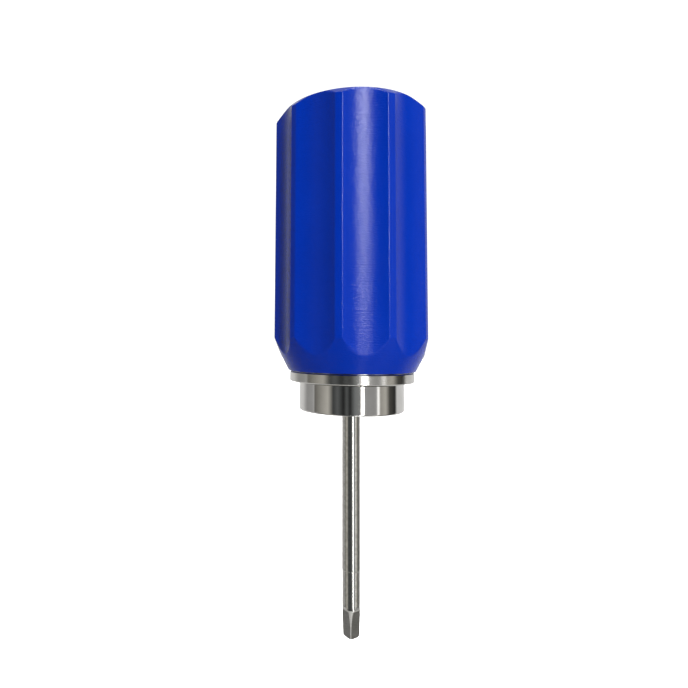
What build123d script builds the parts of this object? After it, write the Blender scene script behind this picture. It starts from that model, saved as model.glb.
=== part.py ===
from build123d import *
import math
import os

# Driving dimensions, in millimetres. The centre of the tip's end face is the origin, +Z runs up the axis.
blade_dia = 3.5
blade_out = 42.0              # length of blade showing below the nose
blade_top = 69.0
fine_dia = 3.4                # the last stretch is ground a little smaller
fine_length = 12.1
taper_height = 5.7
tip_end_dia = 3.0             # over the corners, at the end
tip_edge = 0.2
tip_turn = 32.0               # degrees from -Y towards +X, to the middle of a ground flat
flats_wide_end = 2.2          # across opposite flats, at the tip's end
flats_wide_mid = 2.36
flats_wide_top = 2.84
flats_mid_height = 2.2        # the flats lean in more steeply above this height
flats_top_height = 4.9
runout_height = 5.8           # where the grinding runs out of the round
bore_clearance = 0.02         # radial, round the blade
locating_depth = 0.5          # depth of the two flats the screws bear on
locating_from = 42.9

collar_dia = 20.0
collar_height = 5.4
collar_lip = 1.0              # thickness of the collar's floor below the spigot
collar_hole_dia = 3.7
collar_edge = 0.35
flange_dia = 23.8
flange_height = 1.85
flange_edge = 0.15
spigot_dia = 9.6
shank_dia = 9.0
shank_length = 26.0
shadow_gap = 0.15             # relief that shows as a dark line at each joint
relief_dia = 18.6
seat_dia = 20.0

grip_dia = 30.0
grip_length = 50.45
grip_cone_height = 6.2
grip_cone_bulge = 0.12
grip_end_dia = 24.3
grip_chamfer = 1.4
flute_count = 10
flute_floor = 13.75           # from the axis to the middle of a flute
flute_half_angle = 15.5       # degrees, from a flute's middle to its edge

clamp_screw_dia = 3.0
clamp_screw_length = 8.0
clamp_screw_hex = 1.5
clamp_screw_point = 0.6       # depth of the cone at its inner end
clamp_clearance = 0.03
clamp_angles = {"left": 225.0, "right": 135.0}    # degrees from -Y towards +X

stop_screw_dia = 4.0
stop_screw_length = 6.0
stop_screw_hex = 2.0
stop_travel = 3.0

flange_screw_dia = 2.5
flange_screw_length = 8.0
flange_screw_head_dia = 4.7
flange_screw_hex = 1.5
flange_screw_radius = 7.5     # from the axis to each screw
flange_screw_angles = [60.0, 180.0, 300.0]
insert_dia = 4.0
insert_length = 5.0
insert_lip = 0.3              # how far the inserts sit below the grip's end
fit_gap = 0.02                # radial gap between parts fixed to each other

# Heights worked out from the above
collar_top = blade_out + collar_height
flange_low = collar_top + shadow_gap
flange_top = flange_low + flange_height
grip_low = flange_top + shadow_gap
grip_high = grip_low + grip_length
shank_top = grip_low + shank_length
clamp_height = blade_out + 0.5 * collar_height
blade_radius = 0.5 * blade_dia
bore_radius = blade_radius + bore_clearance
stop_low = blade_top + clamp_clearance


def around(angle):
    """Unit vector level with the ground, turned by an angle from -Y towards +X."""
    turn = math.radians(angle)
    return Vector(math.sin(turn), -math.cos(turn), 0)


def radial_plane(angle, radius, height):
    """Plane facing outwards at a distance from the axis."""
    out = around(angle)
    return Plane(origin=out * radius + Vector(0, 0, height), x_dir=(0, 0, 1), z_dir=out)


def save(part, name):
    part.label = name
    export_step(part, f"parts/{name}.step")


def make_grip():
    """Fluted nylon grip, bored from below for the ferrule's shank and the three inserts."""
    edge_x = 0.5 * grip_dia * math.cos(math.radians(flute_half_angle))
    half_chord = 0.5 * grip_dia * math.sin(math.radians(flute_half_angle))
    sagitta = edge_x - flute_floor
    flute_radius = (half_chord**2 + sagitta**2) / (2 * sagitta)
    cone_top = (0.5 * grip_dia, grip_low + grip_cone_height)
    cone_low = (0.5 * grip_end_dia, grip_low)
    with BuildPart() as grip:
        with BuildSketch(Plane.XZ):
            with BuildLine():
                foot = Line((0, grip_low), cone_low)
                cone = SagittaArc(cone_low, cone_top, -grip_cone_bulge)
                side = Line(cone_top, (cone_top[0], grip_high))
                head = Line(side @ 1, (0, grip_high))
                Line(head @ 1, foot @ 0)
            make_face()
        revolve(axis=Axis.Z)
        rim = grip.edges().filter_by(GeomType.CIRCLE).sort_by(Axis.Z)[-1]
        chamfer(rim, grip_chamfer)
        with BuildSketch(Plane.XY.offset(grip_low - 1)):
            with PolarLocations(flute_floor + flute_radius, flute_count, start_angle=-90):
                Circle(flute_radius)
        extrude(amount=grip_length + 2, mode=Mode.SUBTRACT)
        bore_depth = shank_length + stop_travel + 1
        with BuildSketch(Plane.XY.offset(grip_low)):
            Circle(0.5 * shank_dia + fit_gap)
        extrude(amount=bore_depth, mode=Mode.SUBTRACT)
        with BuildSketch(Plane.XY.offset(grip_low)):
            with Locations(*[around(a) * flange_screw_radius for a in flange_screw_angles]):
                Circle(0.5 * insert_dia + fit_gap)
        extrude(amount=insert_lip + insert_length + 3, mode=Mode.SUBTRACT)
    save(grip.part, "grip_body")


def make_inserts():
    """Brass threaded inserts set in the grip for the flange screws."""
    for number, angle in enumerate(flange_screw_angles, start=1):
        centre = around(angle) * flange_screw_radius
        with BuildPart() as insert:
            with BuildSketch(Plane.XY.offset(grip_low + insert_lip)):
                with Locations(centre):
                    Circle(0.5 * insert_dia)
                    Circle(0.5 * flange_screw_dia + fit_gap, mode=Mode.SUBTRACT)
            extrude(amount=insert_length)
        save(insert.part, f"flange_insert_{number}")


def make_flange_screws():
    """Countersunk socket screws that hold the flange to the grip, heads under the collar."""
    head_height = 0.5 * (flange_screw_head_dia - flange_screw_dia)
    for number, angle in enumerate(flange_screw_angles, start=1):
        centre = around(angle) * flange_screw_radius
        seat = Plane(origin=centre + Vector(0, 0, flange_low))
        with BuildPart() as screw:
            with BuildSketch(seat):
                Circle(0.5 * flange_screw_head_dia - fit_gap)
            extrude(amount=head_height, taper=45)
            with BuildSketch(seat):
                Circle(0.5 * flange_screw_dia - fit_gap)
            extrude(amount=flange_screw_length)
            with BuildSketch(seat):
                RegularPolygon(0.5 * flange_screw_hex, 6, major_radius=False)
            extrude(amount=0.8 * head_height, mode=Mode.SUBTRACT)
        save(screw.part, f"flange_screw_{number}")


def make_ferrule():
    """Steel ferrule: shank in the grip, flange under it, spigot inside the collar, bored for the blade."""
    with BuildPart() as ferrule:
        with BuildSketch(Plane.XY.offset(blade_out + collar_lip + fit_gap)):
            Circle(0.5 * spigot_dia)
        extrude(amount=flange_low - blade_out - collar_lip - fit_gap)
        with BuildSketch(Plane.XY.offset(collar_top)):
            Circle(0.5 * relief_dia)
        extrude(amount=shadow_gap)
        with BuildSketch(Plane.XY.offset(flange_low)):
            Circle(0.5 * flange_dia)
        extrude(amount=flange_height)
        outer = ferrule.edges().filter_by(GeomType.CIRCLE).sort_by(SortBy.RADIUS)[-2:]
        chamfer(outer, flange_edge)
        with BuildSketch(Plane.XY.offset(flange_top)):
            Circle(0.5 * seat_dia)
        extrude(amount=shadow_gap)
        with BuildSketch(Plane.XY.offset(grip_low)):
            Circle(0.5 * shank_dia)
        extrude(amount=shank_length)
        with BuildSketch(Plane.XY.offset(blade_out)):
            Circle(bore_radius)
        extrude(amount=blade_top - blade_out, mode=Mode.SUBTRACT)
        with BuildSketch(Plane.XY.offset(blade_top)):
            Circle(0.5 * stop_screw_dia + fit_gap)
        extrude(amount=shank_top - blade_top, mode=Mode.SUBTRACT)
        for angle in clamp_angles.values():
            with BuildSketch(radial_plane(angle, 0, clamp_height)):
                Circle(0.5 * clamp_screw_dia + fit_gap)
            extrude(amount=0.5 * collar_dia, mode=Mode.SUBTRACT)
        with BuildSketch(Plane.XY.offset(collar_top)):
            with Locations(*[around(a) * flange_screw_radius for a in flange_screw_angles]):
                Circle(0.5 * flange_screw_head_dia)
        extrude(amount=shadow_gap, mode=Mode.SUBTRACT)
        for angle in flange_screw_angles:
            seat = Plane(origin=around(angle) * flange_screw_radius + Vector(0, 0, flange_low))
            with BuildSketch(seat):
                Circle(0.5 * flange_screw_head_dia)
            extrude(amount=0.5 * (flange_screw_head_dia - flange_screw_dia), taper=45, mode=Mode.SUBTRACT)
            with BuildSketch(seat):
                Circle(0.5 * flange_screw_dia + fit_gap)
            extrude(amount=flange_height + shadow_gap, mode=Mode.SUBTRACT)
    save(ferrule.part, "ferrule")


def make_collar():
    """Polished nose collar that covers the flange screws and carries the two clamp screws."""
    with BuildPart() as collar:
        with BuildSketch(Plane.XY.offset(blade_out)):
            Circle(0.5 * collar_dia)
        extrude(amount=collar_height)
        rims = collar.edges().filter_by(GeomType.CIRCLE).sort_by(Axis.Z)
        fillet(rims[0], collar_edge)
        fillet(rims[-1], 0.4 * collar_edge)
        with BuildSketch(Plane.XY.offset(blade_out + collar_lip)):
            Circle(0.5 * spigot_dia + fit_gap)
        extrude(amount=collar_height, mode=Mode.SUBTRACT)
        with BuildSketch(Plane.XY.offset(blade_out)):
            Circle(0.5 * collar_hole_dia)
        extrude(amount=collar_lip, mode=Mode.SUBTRACT)
        for angle in clamp_angles.values():
            with BuildSketch(radial_plane(angle, 0, clamp_height)):
                Circle(0.5 * clamp_screw_dia + fit_gap)
            extrude(amount=0.5 * collar_dia + 1, mode=Mode.SUBTRACT)
    save(collar.part, "nose_collar")


def make_clamp_screws():
    """Cone-point grub screws that bear on the blade's two locating flats."""
    inner = blade_radius - locating_depth + clamp_clearance
    point_radius = 0.5 * clamp_screw_dia - clamp_screw_point
    for side, angle in clamp_angles.items():
        with BuildPart() as screw:
            with BuildSketch(radial_plane(angle, inner, clamp_height)):
                Circle(point_radius)
            extrude(amount=clamp_screw_point, taper=-45)
            with BuildSketch(radial_plane(angle, inner + clamp_screw_point, clamp_height)):
                Circle(0.5 * clamp_screw_dia)
            extrude(amount=clamp_screw_length - clamp_screw_point)
            with BuildSketch(radial_plane(angle, inner + clamp_screw_length, clamp_height)):
                RegularPolygon(0.5 * clamp_screw_hex, 6, major_radius=False)
            extrude(amount=-clamp_screw_hex, mode=Mode.SUBTRACT)
        save(screw.part, f"clamp_screw_{side}")


def make_stop_screw():
    """Grub screw behind the blade; a key through the blade's bore turns it."""
    with BuildPart() as screw:
        with BuildSketch(Plane.XY.offset(stop_low)):
            Circle(0.5 * stop_screw_dia)
        extrude(amount=stop_screw_length)
        chamfer(screw.edges().filter_by(GeomType.CIRCLE), 0.3)
        with BuildSketch(Plane.XY.offset(stop_low)):
            RegularPolygon(0.5 * stop_screw_hex, 6, major_radius=False)
        extrude(amount=stop_screw_hex, mode=Mode.SUBTRACT)
    save(screw.part, "stop_screw")


def make_blade():
    """Round steel blade with a four-sided tapered tip and two locating flats on its shank."""
    with BuildPart() as blade:
        with BuildSketch(Plane.XZ):
            with BuildLine():
                Polyline(
                    (0, 0),
                    (0.5 * tip_end_dia - tip_edge, 0),
                    (0.5 * tip_end_dia, tip_edge),
                    (0.5 * fine_dia, taper_height),
                    (0.5 * fine_dia, fine_length),
                    (blade_radius, fine_length + 0.1),
                    (blade_radius, blade_top - 0.3),
                    (blade_radius - 0.3, blade_top),
                    (0, blade_top),
                    close=True,
                )
            make_face()
        revolve(axis=Axis.Z)
        for side in range(4):
            out = around(tip_turn + 90 * side)
            with BuildSketch(Plane(origin=(0, 0, 0), x_dir=out, z_dir=out.cross(Vector(0, 0, 1)))):
                with BuildLine():
                    Polyline(
                        (0.5 * flats_wide_end, 0),
                        (0.5 * flats_wide_mid, flats_mid_height),
                        (0.5 * flats_wide_top, flats_top_height),
                        (0.5 * blade_dia, runout_height),
                        (blade_dia, runout_height),
                        (blade_dia, 0),
                        close=True,
                    )
                make_face()
            extrude(amount=blade_dia, both=True, mode=Mode.SUBTRACT)
        for angle in clamp_angles.values():
            with BuildSketch(radial_plane(angle, blade_radius - locating_depth, 0.5 * (locating_from + blade_top))):
                Rectangle(blade_top - locating_from, blade_dia)
            extrude(amount=1, mode=Mode.SUBTRACT)
    save(blade.part, "blade")


os.makedirs("parts", exist_ok=True)
make_grip()
make_inserts()
make_flange_screws()
make_ferrule()
make_collar()
make_clamp_screws()
make_stop_screw()
make_blade()
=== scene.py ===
import math

import bpy
from mathutils import Matrix, Vector


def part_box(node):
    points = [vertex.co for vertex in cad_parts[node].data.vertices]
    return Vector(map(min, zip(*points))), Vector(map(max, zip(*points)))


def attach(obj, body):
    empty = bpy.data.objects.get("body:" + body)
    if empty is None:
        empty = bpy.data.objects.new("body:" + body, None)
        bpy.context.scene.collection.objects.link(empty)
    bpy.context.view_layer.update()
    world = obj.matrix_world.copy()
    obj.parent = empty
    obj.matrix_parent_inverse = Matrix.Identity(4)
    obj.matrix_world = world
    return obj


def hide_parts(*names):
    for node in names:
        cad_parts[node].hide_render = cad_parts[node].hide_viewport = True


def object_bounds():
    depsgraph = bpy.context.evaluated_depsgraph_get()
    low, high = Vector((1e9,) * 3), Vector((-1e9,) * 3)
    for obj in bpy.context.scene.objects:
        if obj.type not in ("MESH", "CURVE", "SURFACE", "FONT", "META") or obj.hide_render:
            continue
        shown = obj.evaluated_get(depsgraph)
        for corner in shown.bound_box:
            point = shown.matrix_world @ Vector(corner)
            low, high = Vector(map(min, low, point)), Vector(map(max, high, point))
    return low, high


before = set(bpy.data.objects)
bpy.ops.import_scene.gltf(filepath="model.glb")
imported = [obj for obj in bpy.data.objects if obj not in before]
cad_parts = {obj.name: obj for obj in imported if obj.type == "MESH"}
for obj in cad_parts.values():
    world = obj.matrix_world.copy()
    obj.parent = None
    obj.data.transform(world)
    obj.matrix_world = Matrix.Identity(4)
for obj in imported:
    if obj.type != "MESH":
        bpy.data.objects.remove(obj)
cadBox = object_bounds()
mm = 0.001
print("frame loaded:", len(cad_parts), "nodes")


class Sock:  # one output socket that can be used in plain arithmetic
    def __init__(self, graph, socket):
        self.graph = graph
        self.socket = socket

    def math(self, operation, *others, clamp=False):
        settings = {"operation": operation, "use_clamp": clamp}
        return self.graph.add("ShaderNodeMath", settings, dict(enumerate((self, *others))))

    def __add__(self, other):
        return self.math("ADD", other)

    def __sub__(self, other):
        return self.math("SUBTRACT", other)

    def __mul__(self, other):
        return self.math("MULTIPLY", other)

    def __truediv__(self, other):
        return self.math("DIVIDE", other)

    def __radd__(self, other):
        return self.math("ADD", other)

    def __rmul__(self, other):
        return self.math("MULTIPLY", other)

    def __rsub__(self, other):
        return (self * -1.0).math("ADD", other)

    def __rtruediv__(self, other):
        return self.math("POWER", -1.0) * other


class Graph:  # adds nodes to a shader or geometry tree
    def __init__(self, tree):
        self.tree = tree

    def add(self, kind, settings=None, inputs=None, out=0):
        node = self.tree.nodes.new(kind)
        for key, value in (settings or {}).items():
            if key == "stops":
                self.fillRamp(node, value)
            else:
                setattr(node, key, value)
        for key, value in (inputs or {}).items():
            self.feed(node.inputs[key], value)
        return Sock(self, node.outputs[out]) if len(node.outputs) else node

    def feed(self, socket, value):
        if isinstance(value, Sock):
            self.tree.links.new(value.socket, socket)
        else:
            socket.default_value = value

    def fillRamp(self, node, stops):
        ramp = node.color_ramp
        while len(ramp.elements) > 1:
            ramp.elements.remove(ramp.elements[-1])
        for number, (place, colour) in enumerate(stops):
            element = ramp.elements[0] if number == 0 else ramp.elements.new(place)
            element.position = place
            element.color = colour if hasattr(colour, "__len__") else (colour, colour, colour, 1)

    def noise(self, where, scale, detail=3.0, roughness=0.5):
        values = {"Vector": where, "Scale": scale, "Detail": detail, "Roughness": roughness}
        return self.add("ShaderNodeTexNoise", {}, values)

    def lines(self, along, pitch, detail=2.0):  # irregular fine lines across one direction
        values = {"W": along, "Scale": 1.0 / pitch, "Detail": detail}
        return self.add("ShaderNodeTexNoise", {"noise_dimensions": "1D"}, values)

    def mixColour(self, factor, first, second):
        values = {"Factor": factor, 6: first, 7: second}
        return self.add("ShaderNodeMix", {"data_type": "RGBA"}, values, out=2)

    def ramp(self, value, stops):
        return self.add("ShaderNodeValToRGB", {"stops": stops}, {"Fac": value})


def newMaterial(name):
    material = bpy.data.materials.new(name)
    material.use_nodes = True
    graph = Graph(material.node_tree)
    shader = material.node_tree.nodes["Principled BSDF"]
    where = graph.add("ShaderNodeTexCoord", out=3)
    scaled = graph.add("ShaderNodeVectorMath", {"operation": "SCALE"}, {0: where, "Scale": 1.0 / mm})  # in mm
    return material, graph, shader, scaled


def splitXyz(graph, vector):
    node = graph.tree.nodes.new("ShaderNodeSeparateXYZ")
    graph.feed(node.inputs[0], vector)
    return [Sock(graph, output) for output in node.outputs]


def finishShader(graph, shader, colour, roughness, height, depth):
    graph.feed(shader.inputs["Base Color"], colour)
    graph.feed(shader.inputs["Roughness"], roughness)
    bump = graph.add("ShaderNodeBump", {}, {"Height": height, "Strength": 1.0, "Distance": depth * mm})
    graph.feed(shader.inputs["Normal"], bump)


grip = {  # lengths in mm, angles in degrees
    "fluteCount": 10, "columnsPerFlute": 48, "radius": 14.998, "fluteFloor": 13.75, "fluteHalfAngle": 15.5,
    "inset": 0.002,  # how far the head stays below the top of its box
    "edgeRounding": 0.10, "topRounding": 0.05, "chamfer": 1.4, "coneHeight": 6.2, "coneEndRadius": 12.15,
    "coneBulge": 0.12, "boreRadius": 4.52, "boreDepth": 30.0,
    "blue": (0.0002, 0.0082, 0.106, 1), "deepBlue": (0.0002, 0.0068, 0.092, 1), "roughness": 0.17,
    "specularLevel": 0.085, "toolPitch": 0.36, "bumpDepth": 0.02,
}


def evenly(start, end, count):  # points from start up to, not including, end
    return [start.lerp(end, step / count) for step in range(count)]


def roundCorner(before, corner, after, radius, count):  # arc that replaces a sharp corner
    toBefore = (before - corner).normalized()
    toAfter = (after - corner).normalized()
    half = 0.5 * toBefore.angle(toAfter)
    reach = radius / math.tan(half)
    centre = corner + (toBefore + toAfter).normalized() * (radius / math.sin(half))
    first = corner + toBefore * reach - centre
    last = corner + toAfter * reach - centre
    return [centre + first.slerp(last, step / count).normalized() * radius for step in range(count + 1)]


def gripOutline():
    low, high = (corner.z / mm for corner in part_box("grip_body"))
    high -= grip["inset"]
    g = grip
    coneLow = Vector((g["coneEndRadius"], low))
    coneHigh = Vector((g["radius"], low + g["coneHeight"]))
    bulge = (coneHigh - coneLow).orthogonal().normalized() * g["coneBulge"]
    bulge = bulge if bulge.x > 0 else -bulge
    chamferLow = Vector((g["radius"], high - g["chamfer"]))
    chamferHigh = Vector((g["radius"] - g["chamfer"], high))
    boreMouth = Vector((g["boreRadius"], low))
    boreEnd = Vector((g["boreRadius"], low + g["boreDepth"]))
    centre = Vector((0, high))
    foot = roundCorner(boreMouth, coneLow, coneHigh, 0.3, 6)
    hip = roundCorner(coneLow, coneHigh, chamferLow, 1.2, 8)
    shoulder = roundCorner(coneHigh, chamferLow, chamferHigh, 0.5, 8)
    brow = roundCorner(chamferLow, chamferHigh, centre, 0.4, 8)
    cone = evenly(foot[-1], hip[0], 44)
    cone = [point + bulge * math.sin(math.pi * step / 44) for step, point in enumerate(cone)]
    outline = [Vector((0, boreEnd.y)), boreEnd]
    outline += evenly(boreMouth, foot[0], 4) + foot[:-1] + cone + hip[:-1]
    outline += evenly(hip[-1], shoulder[0], 24) + shoulder[:-1]
    outline += evenly(shoulder[-1], brow[0], 6) + brow[:-1] + evenly(brow[-1], centre, 10) + [centre]
    return outline


def fluteTree():
    tree = bpy.data.node_groups.new("flutedGrip", "GeometryNodeTree")
    face = tree.interface
    face.new_socket("Outline", in_out="INPUT", socket_type="NodeSocketGeometry")
    for name, kind in (("Flute Count", "Int"), ("Columns per Flute", "Int"), ("Floor Radius", "Float"),
                       ("Cutter Radius", "Float"), ("Edge Rounding", "Float"), ("Top Height", "Float"),
                       ("Top Rounding", "Float"), ("Material", "Material")):
        face.new_socket(name, in_out="INPUT", socket_type="NodeSocket" + kind)
    face.new_socket("Geometry", in_out="OUTPUT", socket_type="NodeSocketGeometry")
    g = Graph(tree)
    source = tree.nodes.new("NodeGroupInput")
    given = {socket.name: Sock(g, socket) for socket in source.outputs if socket.name}
    rows = g.add("GeometryNodeAttributeDomainSize", {}, {"Geometry": given["Outline"]})
    columns = given["Flute Count"] * given["Columns per Flute"] + 1
    gridSizes = {"Size X": 1.0, "Size Y": 1.0, "Vertices X": columns, "Vertices Y": rows}
    grid = g.add("GeometryNodeMeshGrid", {}, gridSizes)
    index = g.add("GeometryNodeInputIndex")
    column = (index / rows + 0.0001).math("FLOOR")
    row = index - column * rows
    place = g.add("GeometryNodeInputPosition")
    point = g.add("GeometryNodeSampleIndex", {"data_type": "FLOAT_VECTOR"},
                  {"Geometry": given["Outline"], "Value": place, "Index": row})
    radius, height = splitXyz(g, point)[::2]
    turn = column / given["Columns per Flute"]
    flute = (turn + 0.0001).math("FLOOR")
    offset = (turn - flute - 0.5) * 2.0
    spread = g.add("ShaderNodeFloatCurve", {}, {"Value": offset.math("ABSOLUTE")})
    spreadCurve(spread.socket.node)
    pitch = 2 * math.pi / given["Flute Count"]
    side = spread * offset.math("SIGN") * 0.5
    angle = (flute + 0.5 + side) * pitch - math.pi / 2 - pitch * 0.5
    local = side * pitch
    centre = given["Floor Radius"] + given["Cutter Radius"]
    across = centre * local.math("SINE")
    cutterSquared = given["Cutter Radius"] * given["Cutter Radius"]
    cut = centre * local.math("COSINE") - (cutterSquared - across * across).math("SQRT")
    lift = (height - given["Top Height"] + given["Top Rounding"]).math("MAXIMUM", 0.0)
    squared = given["Top Rounding"] * given["Top Rounding"] - lift * lift
    cut = cut - given["Top Rounding"] + squared.math("MAXIMUM", 0.0).math("SQRT")
    reach = radius.math("SMOOTH_MIN", cut, given["Edge Rounding"])
    corners = {"X": reach * angle.math("COSINE"), "Y": reach * angle.math("SINE"), "Z": height}
    where = g.add("ShaderNodeCombineXYZ", {}, corners)
    moved = g.add("GeometryNodeSetPosition", {}, {"Geometry": grid, "Position": where})
    welded = g.add("GeometryNodeMergeByDistance", {}, {"Geometry": moved, "Distance": 0.002 * mm})
    smooth = g.add("GeometryNodeSetShadeSmooth", {}, {"Geometry": welded})
    real = g.add("GeometryNodeRealizeInstances", {}, {"Geometry": smooth})
    painted = g.add("GeometryNodeSetMaterial", {}, {"Geometry": real, "Material": given["Material"]})
    result = tree.nodes.new("NodeGroupOutput")
    g.feed(result.inputs[0], painted)
    return tree


def spreadCurve(node):  # packs the columns close together at each flute's edge
    curve = node.mapping.curves[0]
    for place, value in ((0.40, 0.75), (0.78, 0.94)):
        curve.points.new(place, value)
    for point in curve.points:
        point.handle_type = "VECTOR"
    node.mapping.update()


def nylonBlue():
    material, graph, shader, where = newMaterial("nylonBlue")
    z = splitXyz(graph, where)[2]
    cloud = graph.noise(where, 0.12, 2.0)
    passes = graph.lines(z, grip["toolPitch"], 1.0)
    slow = graph.noise(where, 0.25, 2.0)
    fine = graph.noise(where, 6.0, 4.0)
    colour = graph.mixColour(cloud, grip["deepBlue"], grip["blue"])
    roughness = grip["roughness"] + (slow - 0.5) * 0.12 + (fine - 0.5) * 0.06
    squeezed = graph.add("ShaderNodeMapping", {}, {"Vector": where, "Scale": (1.6, 1.6, 5.0)})
    ripple = graph.noise(squeezed, 1.0, 3.0, 0.6)
    height = passes * (0.35 + slow * 0.9) + fine * 0.15 + ripple * 2.6
    finishShader(graph, shader, colour, roughness, height, grip["bumpDepth"])
    shader.inputs["Specular IOR Level"].default_value = grip["specularLevel"]
    return material


def makeGrip():
    g = grip
    mesh = bpy.data.meshes.new("gripOutline")
    outline = [(point.x * mm, 0, point.y * mm) for point in gripOutline()]
    mesh.from_pydata(outline, [(n, n + 1) for n in range(len(outline) - 1)], [])
    piece = bpy.data.objects.new("grip", mesh)
    bpy.context.scene.collection.objects.link(piece)
    half = math.radians(g["fluteHalfAngle"])
    chord = g["radius"] * math.sin(half)
    sagitta = g["radius"] * math.cos(half) - g["fluteFloor"]
    sizes = {
        "Flute Count": g["fluteCount"],
        "Columns per Flute": g["columnsPerFlute"],
        "Floor Radius": g["fluteFloor"] * mm,
        "Cutter Radius": (chord**2 + sagitta**2) / (2 * sagitta) * mm,
        "Edge Rounding": g["edgeRounding"] * mm,
        "Top Height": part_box("grip_body")[1].z - g["inset"] * mm,
        "Top Rounding": g["topRounding"] * mm,
        "Material": nylonBlue(),
    }
    modifier = piece.modifiers.new("flutes", "NODES")
    modifier.node_group = fluteTree()
    for item in modifier.node_group.interface.items_tree:
        if item.in_out == "INPUT" and item.name in sizes:
            modifier[item.identifier] = sizes[item.name]
    bpy.context.view_layer.update()
    evaluated = piece.evaluated_get(bpy.context.evaluated_depsgraph_get())
    result = bpy.data.meshes.new_from_object(evaluated)
    piece.modifiers.clear()
    piece.data = result
    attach(piece, "handle")
    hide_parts("grip_body")
    print("grip made:", len(result.polygons), "faces")


makeGrip()

steel = {  # pitch and depth of the turning lines in mm
    "collar": {
        "colour": (0.63, 0.62, 0.60, 1), "dull": (0.52, 0.51, 0.49, 1),
        "roughness": 0.07, "lines": 0.0025, "pitch": 0.09,
    },
    "flange": {
        "colour": (0.60, 0.59, 0.56, 1), "dull": (0.48, 0.47, 0.45, 1),
        "roughness": 0.13, "lines": 0.006, "pitch": 0.07,
    },
    "blade": {
        "colour": (0.60, 0.59, 0.56, 1), "dull": (0.40, 0.39, 0.36, 1),
        "ground": (0.11, 0.11, 0.105, 1), "rubbed": (0.42, 0.41, 0.39, 1),
        "roughness": 0.10, "lines": 0.002, "pitch": 0.12,
        "turn": 32.0, "groundTop": 5.9, "wornTop": 5.2, "fineTop": 12.1,  # heights above the tip, in mm
    },
    "screw": {
        "colour": (0.05, 0.05, 0.055, 1), "dull": (0.09, 0.085, 0.08, 1),
        "roughness": 0.34, "lines": 0.004, "pitch": 0.15,
    },
}
brass = {"colour": (0.62, 0.42, 0.16, 1), "bright": (0.72, 0.52, 0.22, 1), "roughness": 0.25, "pitch": 0.3}


def turnedSteel(name, look):
    material, graph, shader, where = newMaterial(name)
    x, y, z = splitXyz(graph, where)
    radius = (x * x + y * y).math("SQRT")
    smudge = graph.noise(where, 0.35, 3.0)
    grit = graph.noise(where, 3.0, 3.0)
    rings = graph.lines(z + radius, look["pitch"], 2.0)
    colour = graph.mixColour(smudge, look["dull"], look["colour"])
    roughness = look["roughness"] + (smudge - 0.5) * 0.10 * look["roughness"]
    roughness = roughness + (rings - 0.5) * look["roughness"]
    finishShader(graph, shader, colour, roughness, rings + grit * 0.1, look["lines"])
    shader.inputs["Metallic"].default_value = 1.0
    return material


def bladeSteel():
    look = steel["blade"]
    material, graph, shader, where = newMaterial("bladeSteel")
    z = splitXyz(graph, where)[2]
    wear = graph.ramp(graph.noise(where, 1.6, 4.0, 0.6), [(0.42, 0.0), (0.62, 1.0)])
    rings = graph.lines(z, look["pitch"], 2.0)
    flat = graph.add("ShaderNodeNewGeometry", out=3)
    turn = math.radians(look["turn"])
    facing = []
    for way in ((math.sin(turn), -math.cos(turn), 0), (math.cos(turn), math.sin(turn), 0)):
        along = graph.add("ShaderNodeVectorMath", {"operation": "DOT_PRODUCT"}, {0: flat, 1: way}, out=1)
        facing.append(along.math("ABSOLUTE"))
    onFlat = facing[0].math("MAXIMUM", facing[1]).math("GREATER_THAN", 0.985)
    ground = onFlat * z.math("LESS_THAN", look["groundTop"])
    fineEnd = z.math("LESS_THAN", look["fineTop"])
    squeezed = graph.add("ShaderNodeMapping", {}, {"Vector": where, "Scale": (1.5, 1.5, 9.0)})
    scratches = graph.noise(squeezed, 1.0, 4.0, 0.7)
    tone = wear * 0.45 * (1.0 - ground)
    clean = graph.mixColour(tone, look["colour"], look["dull"])
    rubbed = graph.mixColour(scratches, look["ground"], look["rubbed"])
    colour = graph.mixColour(ground, clean, rubbed)
    worn = z.math("LESS_THAN", look["wornTop"]) * (1.0 - ground)  # the rubbed corners between the flats
    roughness = look["roughness"] + wear * 0.07 + fineEnd * 0.03 + ground * (0.12 + scratches * 0.15)
    roughness = roughness + worn * 0.32 + (rings - 0.5) * 0.05
    height = rings * 0.5 + wear * 0.6 + ground * scratches * 3.0
    finishShader(graph, shader, colour, roughness, height, look["lines"])
    shader.inputs["Metallic"].default_value = 1.0
    return material


def brassMetal():
    material, graph, shader, where = newMaterial("insertBrass")
    z = splitXyz(graph, where)[2]
    rings = graph.lines(z, brass["pitch"], 2.0)
    colour = graph.mixColour(rings, brass["colour"], brass["bright"])
    finishShader(graph, shader, colour, brass["roughness"] + rings * 0.1, rings, 0.01)
    shader.inputs["Metallic"].default_value = 1.0
    return material


finishes = {
    "nose_collar": turnedSteel("collarSteel", steel["collar"]),
    "ferrule": turnedSteel("flangeSteel", steel["flange"]),
    "blade": bladeSteel(),
    "screw": turnedSteel("screwSteel", steel["screw"]),
    "insert": brassMetal(),
}
for nodeName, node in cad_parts.items():
    for kind, material in finishes.items():
        if kind in nodeName:
            node.data.materials.clear()
            node.data.materials.append(material)
print("metal finished")

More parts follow.
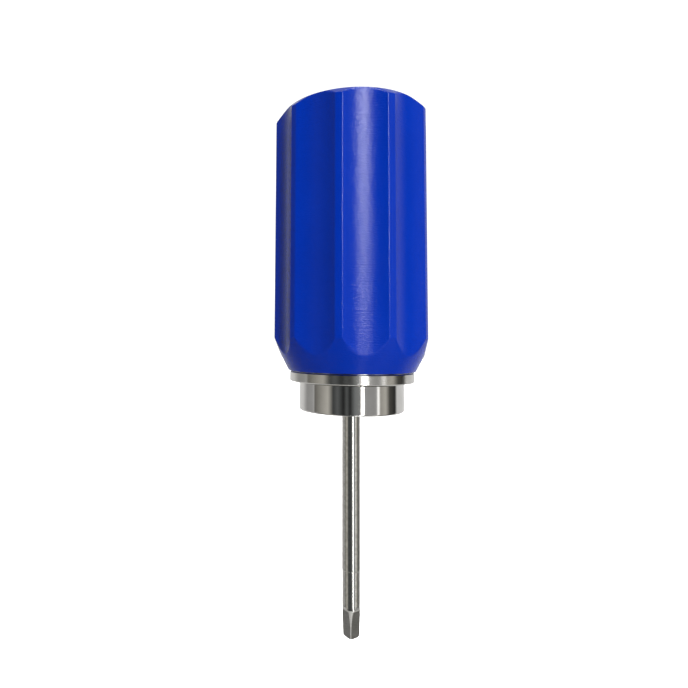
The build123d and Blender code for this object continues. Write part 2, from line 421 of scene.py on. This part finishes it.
studio = {
    "floorDrop": 0.07, "floorRadius": 4.0, "floorShade": 0.6, "floorGlow": 0.85, "backdrop": 1.15,  # metres
    "lampBearing": 24.0, "lampHalfWidth": 3.0,  # upright lamp, in degrees from the camera's bearing
    "lampRise": 0.25, "lampGain": 30.0,
    "warm": (1.0, 0.97, 0.89), "cool": (0.93, 0.98, 1.0), "plain": (1.0, 1.0, 1.0),
    # bearing from the camera round to the right in degrees, brightness, tint; tuned for the front view
    "strips": [
        (-180, 0.85, "plain"), (-130, 0.83, "plain"), (-112, 0.42, "plain"), (-92, 0.46, "plain"),
        (-89, 0.62, "plain"), (-85, 0.20, "warm"), (-51, 0.65, "warm"), (-39, 0.07, "cool"),
        (-29, 0.16, "cool"), (-16, 0.02, "cool"), (-9, 0.15, "cool"), (-2, 0.02, "cool"),
        (9, 0.27, "cool"), (21.5, 0.32, "plain"), (22.5, 9.0, "plain"), (25.5, 9.0, "plain"),
        (27.5, 0.45, "plain"), (49, 0.42, "plain"), (56, 0.50, "plain"), (58, 1.7, "plain"),
        (61, 1.7, "plain"), (64, 0.45, "warm"), (78, 0.65, "warm"), (89, 0.10, "warm"),
        (108, 0.03, "plain"), (115, 0.86, "plain"), (180, 0.86, "plain"),
    ],
}
softbox = {"bearing": 60, "height": 0.16, "distance": 0.6, "size": 0.35, "power": 2.6, "aimHeight": 0.06}
view = {  # degrees, metres, and the lens in mm
    "azimuth": -10.0, "distance": 0.1061, "height": 0.0552, "pan": -8.92, "tilt": 4.03, "roll": 0.6,
    "lens": 28.0, "shiftX": 0.1115, "shiftY": -0.0597,
}


def makeFloor():
    low = cadBox[0][2] - studio["floorDrop"]
    mesh = bpy.data.meshes.new("floor")
    r = studio["floorRadius"]
    mesh.from_pydata([(-r, -r, low), (r, -r, low), (r, r, low), (-r, r, low)], [], [(0, 1, 2, 3)])
    floor = bpy.data.objects.new("floor", mesh)
    bpy.context.scene.collection.objects.link(floor)
    material = bpy.data.materials.new("paleFloor")
    material.use_nodes = True
    shader = material.node_tree.nodes["Principled BSDF"]
    shade = studio["floorShade"]
    shader.inputs["Base Color"].default_value = (shade, shade, shade, 1)
    shader.inputs["Roughness"].default_value = 0.9
    shader.inputs["Emission Color"].default_value = (1, 1, 1, 1)
    shader.inputs["Emission Strength"].default_value = studio["floorGlow"]
    mesh.materials.append(material)
    floor.visible_glossy = False


def makeWorld():
    world = bpy.data.worlds.new("studio")
    bpy.context.scene.world = world
    world.use_nodes = True
    tree = world.node_tree
    tree.nodes.clear()
    graph = Graph(tree)
    direction = graph.add("ShaderNodeTexCoord")
    turned = graph.add("ShaderNodeVectorRotate", {"rotation_type": "Z_AXIS"},
                       {"Vector": direction, "Angle": -math.radians(view["azimuth"])})
    x, y, z = splitXyz(graph, turned)
    bearing = x.math("ARCTAN2", y * -1.0) / (2 * math.pi) + 0.5
    brightest = max(level for place, level, tint in studio["strips"])
    stops = [(place / 360 + 0.5, (*(level / brightest * part for part in studio[tint]), 1))
             for place, level, tint in studio["strips"]]
    strips = graph.ramp(bearing, stops)
    off = (bearing * 360.0 - 180.0 - studio["lampBearing"]).math("ABSOLUTE") / studio["lampHalfWidth"]
    above = z.math("MULTIPLY", 1.0 / studio["lampRise"], clamp=True)  # the lamp starts above the collar
    lamp = (1.0 - off).math("MAXIMUM", 0.0) * above * studio["lampGain"]
    strength = brightest * (1.0 + lamp)
    lights = graph.add("ShaderNodeBackground", {}, {"Color": strips, "Strength": strength})
    plain = graph.add("ShaderNodeBackground", {}, {"Color": (1, 1, 1, 1), "Strength": studio["backdrop"]})
    seen = graph.add("ShaderNodeLightPath")
    mixed = graph.add("ShaderNodeMixShader", {}, {0: seen, 1: lights, 2: plain})
    graph.add("ShaderNodeOutputWorld", {}, {"Surface": mixed})


def makeSoftbox():
    data = bpy.data.lights.new("softbox", "AREA")
    data.size = softbox["size"]
    data.energy = softbox["power"]
    light = bpy.data.objects.new("softbox", data)
    bpy.context.scene.collection.objects.link(light)
    light.visible_glossy = False
    around = math.radians(view["azimuth"] + softbox["bearing"])
    distance = softbox["distance"]
    light.location = (math.sin(around) * distance, -math.cos(around) * distance, softbox["height"])
    aim = Vector((0, 0, softbox["aimHeight"])) - light.location
    light.rotation_euler = aim.to_track_quat("-Z", "Y").to_euler()


def makeCamera():
    data = bpy.data.cameras.new("camera")
    data.lens = view["lens"]
    data.shift_x = view["shiftX"]
    data.shift_y = view["shiftY"]
    data.clip_start = 0.001
    camera = bpy.data.objects.new("camera", data)
    bpy.context.scene.collection.objects.link(camera)
    around = math.radians(view["azimuth"])
    heading = around - math.radians(view["pan"])
    tilt = math.radians(view["tilt"])
    place = Vector((math.sin(around), -math.cos(around), 0)) * view["distance"]
    place.z = view["height"]
    forward = Vector((-math.sin(heading), math.cos(heading), math.tan(tilt)))
    roll = Matrix.Rotation(math.radians(view["roll"]), 3, "Z")
    turn = forward.to_track_quat("-Z", "Y").to_matrix() @ roll
    camera.matrix_world = Matrix.Translation(place) @ turn.to_4x4()
    bpy.context.scene.camera = camera


makeFloor()
makeWorld()
makeSoftbox()
makeCamera()
bpy.context.scene.view_settings.view_transform = "Standard"
print("studio set")
